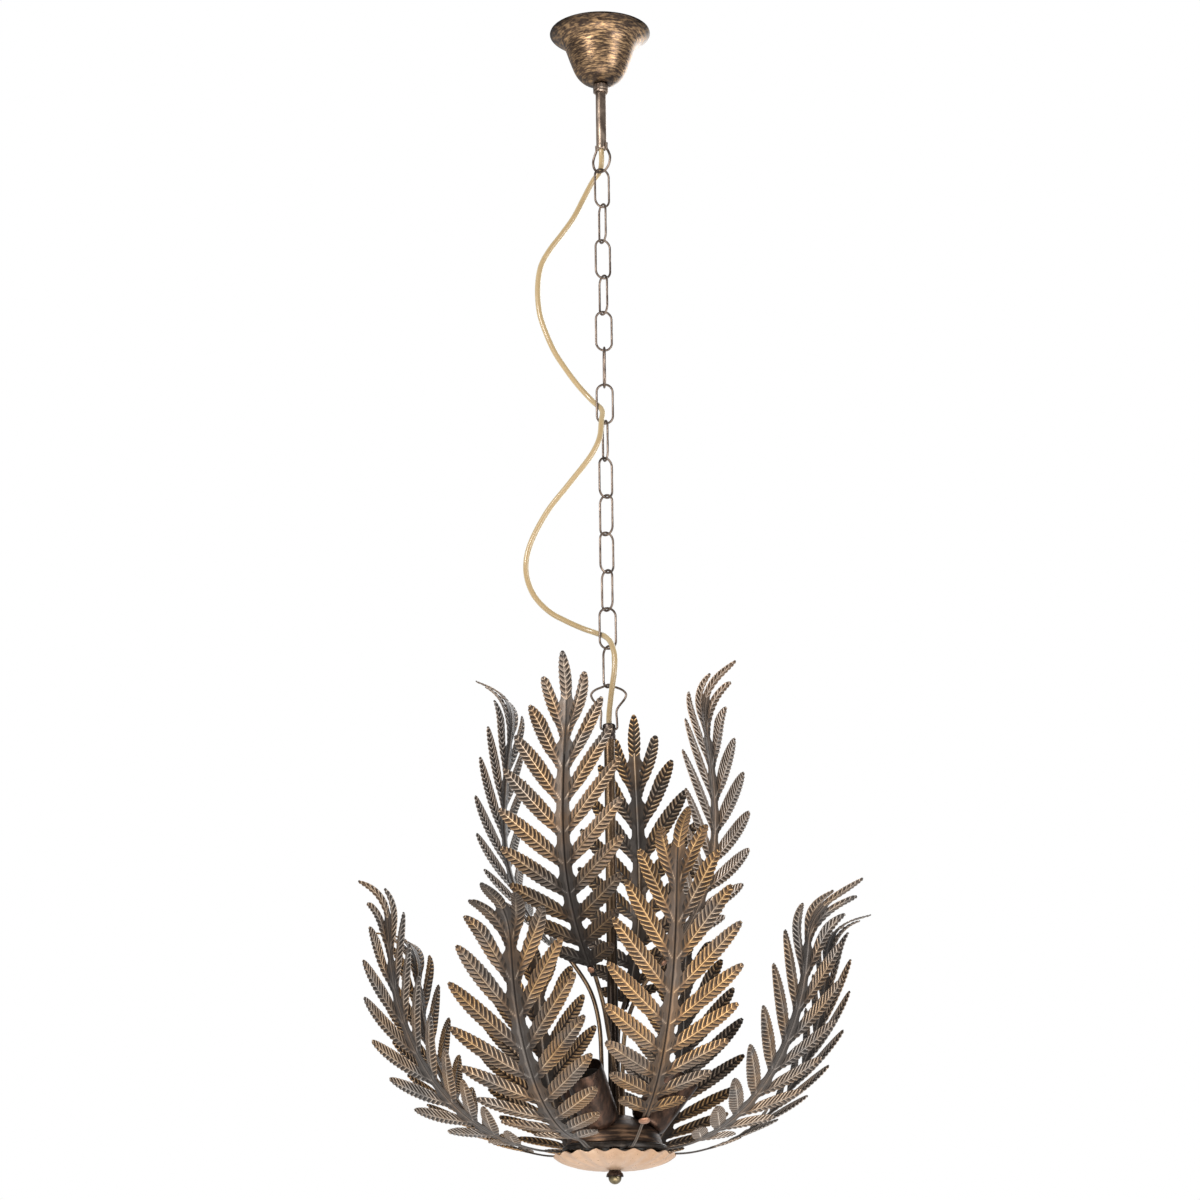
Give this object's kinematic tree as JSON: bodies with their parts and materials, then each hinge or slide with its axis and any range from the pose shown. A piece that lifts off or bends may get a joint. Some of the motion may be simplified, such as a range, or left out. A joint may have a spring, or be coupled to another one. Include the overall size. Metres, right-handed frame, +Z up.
{
  "type": "pendant lamp",
  "caption": "Chain-hung pendant lamp with a bell canopy, fern leaves in two tiers around a column, and leaning screw lamp holders.",
  "frame": {"origin": "middle of the ceiling strap's top face, on the ceiling", "axes": "+Z up, towards the ceiling; -Y towards the viewer of the picture; +X to that viewer's right"},
  "size_m": [0.4806, 0.4993, 1.148],
  "materials": {
    "zinc_steel": "zinc plated steel",
    "terminal_plastic": "cream moulded plastic",
    "stem_bronze": "dark bronze paint, rubbed with gold",
    "canopy_bronze": "dark brown paint brushed with gold orange",
    "chain_bronze": "dull bronze grey wire",
    "column_bronze": "dark bronze with golden brown highlights",
    "hub_bronze": "dark bronze with copper brush strokes",
    "plate_black": "black brown paint",
    "dish_gold": "pale peach gold paint",
    "holder_black": "black moulded holder",
    "shell_brass": "brass screw shell",
    "leaf_bronze": "dark bronze grey, raised veins rubbed copper gold",
    "rivet_copper": "copper toned rivet head",
    "cord_gold": "translucent gold sheath"
  },
  "bodies": {
    "ceiling_end": {"ceiling_strap": "zinc_steel", "stem_locknut": "zinc_steel", "terminal_block": "terminal_plastic", "stem_tube": "stem_bronze", "stem_ring": "chain_bronze", "cord": "cord_gold"},
    "canopy": {"canopy": "canopy_bronze", "canopy_collar": "stem_bronze", "collar_screw": "stem_bronze"},
    "link_01": {"chain_link_01": "chain_bronze"},
    "link_02": {"chain_link_02": "chain_bronze"},
    "link_03": {"chain_link_03": "chain_bronze"},
    "link_04": {"chain_link_04": "chain_bronze"},
    "link_05": {"chain_link_05": "chain_bronze"},
    "link_06": {"chain_link_06": "chain_bronze"},
    "link_07": {"chain_link_07": "chain_bronze"},
    "link_08": {"chain_link_08": "chain_bronze"},
    "link_09": {"chain_link_09": "chain_bronze"},
    "link_10": {"chain_link_10": "chain_bronze"},
    "link_11": {"chain_link_11": "chain_bronze"},
    "link_12": {"chain_link_12": "chain_bronze"},
    "link_13": {"chain_link_13": "chain_bronze"},
    "link_14": {"chain_link_14": "chain_bronze"},
    "bail": {"bail": "chain_bronze"},
    "lamp_body": {"column_cap": "stem_bronze", "column_tube": "column_bronze", "hub_dome": "hub_bronze", "hub_plate": "plate_black", "scalloped_dish": "dish_gold", "finial_cup": "stem_bronze", "finial_ball": "stem_bronze", "holder_cover_1": "hub_bronze", "lamp_holder_1": "holder_black", "screw_shell_1": "shell_brass", "holder_cover_2": "hub_bronze", "lamp_holder_2": "holder_black", "screw_shell_2": "shell_brass", "holder_cover_3": "hub_bronze", "lamp_holder_3": "holder_black", "screw_shell_3": "shell_brass", "upper_leaf_1": "leaf_bronze", "upper_stem_1": "column_bronze", "leaf_rivet_1": "rivet_copper", "upper_leaf_2": "leaf_bronze", "upper_stem_2": "column_bronze", "leaf_rivet_2": "rivet_copper", "upper_leaf_3": "leaf_bronze", "upper_stem_3": "column_bronze", "leaf_rivet_3": "rivet_copper", "upper_leaf_4": "leaf_bronze", "upper_stem_4": "column_bronze", "leaf_rivet_4": "rivet_copper", "lower_leaf_1": "leaf_bronze", "lower_leaf_2": "leaf_bronze", "lower_leaf_3": "leaf_bronze", "lower_leaf_4": "leaf_bronze", "lower_leaf_5": "leaf_bronze", "lower_leaf_6": "leaf_bronze", "lower_leaf_7": "leaf_bronze", "lower_leaf_8": "leaf_bronze"}
  },
  "joints": [
    {"name": "canopy_slide", "type": "slide", "parent": "ceiling_end", "child": "canopy", "axis": [0, 0, 1], "range_m": [-0.05, 0]},
    {"name": "link_01_swing", "type": "hinge", "parent": "ceiling_end", "child": "link_01", "pos_m": [0, 0, -0.1511], "axis": [0.766, -0.6428, 0], "range_deg": [-25, 25], "deforming": ["cord"]},
    {"name": "link_02_swing", "type": "hinge", "parent": "link_01", "child": "link_02", "pos_m": [0, 0, -0.18875], "axis": [0.8746, 0.4848, 0], "range_deg": [-25, 25], "deforming": ["cord"]},
    {"name": "link_03_swing", "type": "hinge", "parent": "link_02", "child": "link_03", "pos_m": [0, 0, -0.22655], "axis": [-0.4067, 0.9135, 0], "range_deg": [-25, 25], "deforming": ["cord"]},
    {"name": "link_04_swing", "type": "hinge", "parent": "link_03", "child": "link_04", "pos_m": [0, 0, -0.26435], "axis": [-0.8988, -0.4384, 0], "range_deg": [-25, 25], "deforming": ["cord"]},
    {"name": "link_05_swing", "type": "hinge", "parent": "link_04", "child": "link_05", "pos_m": [0, 0, -0.30215], "axis": [0.4695, -0.8829, 0], "range_deg": [-25, 25], "deforming": ["cord"]},
    {"name": "link_06_swing", "type": "hinge", "parent": "link_05", "child": "link_06", "pos_m": [0, 0, -0.33995], "axis": [0.9781, 0.2079, 0], "range_deg": [-25, 25], "deforming": ["cord"]},
    {"name": "link_07_swing", "type": "hinge", "parent": "link_06", "child": "link_07", "pos_m": [0, 0, -0.37775], "axis": [-0.0698, 0.9976, 0], "range_deg": [-25, 25], "deforming": ["cord"]},
    {"name": "link_08_swing", "type": "hinge", "parent": "link_07", "child": "link_08", "pos_m": [0, 0, -0.41555], "axis": [-0.9976, -0.0698, 0], "range_deg": [-25, 25], "deforming": ["cord"]},
    {"name": "link_09_swing", "type": "hinge", "parent": "link_08", "child": "link_09", "pos_m": [0, 0, -0.45335], "axis": [0.2924, -0.9563, 0], "range_deg": [-25, 25], "deforming": ["cord"]},
    {"name": "link_10_swing", "type": "hinge", "parent": "link_09", "child": "link_10", "pos_m": [0, 0, -0.49115], "axis": [0.7771, 0.6293, 0], "range_deg": [-25, 25], "deforming": ["cord"]},
    {"name": "link_11_swing", "type": "hinge", "parent": "link_10", "child": "link_11", "pos_m": [0, 0, -0.52895], "axis": [-0.7547, 0.6561, 0], "range_deg": [-25, 25], "deforming": ["cord"]},
    {"name": "link_12_swing", "type": "hinge", "parent": "link_11", "child": "link_12", "pos_m": [0, 0, -0.56675], "axis": [-0.7986, -0.6018, 0], "range_deg": [-25, 25], "deforming": ["cord"]},
    {"name": "link_13_swing", "type": "hinge", "parent": "link_12", "child": "link_13", "pos_m": [0, 0, -0.60455], "axis": [0.6293, -0.7771, 0], "range_deg": [-25, 25], "deforming": ["cord"]},
    {"name": "link_14_swing", "type": "hinge", "parent": "link_13", "child": "link_14", "pos_m": [0, 0, -0.64235], "axis": [0.9848, 0.1736, 0], "range_deg": [-25, 25], "deforming": ["cord"]},
    {"name": "bail_swing", "type": "hinge", "parent": "link_14", "child": "bail", "pos_m": [0, 0, -0.68015], "axis": [-0.5736, 0.8192, 0], "range_deg": [-25, 25], "deforming": ["cord"]},
    {"name": "lamp_swing", "type": "hinge", "parent": "bail", "child": "lamp_body", "pos_m": [0, 0, -0.72115], "axis": [-1, 0, 0], "range_deg": [-25, 25], "deforming": ["cord"]}
  ]
}
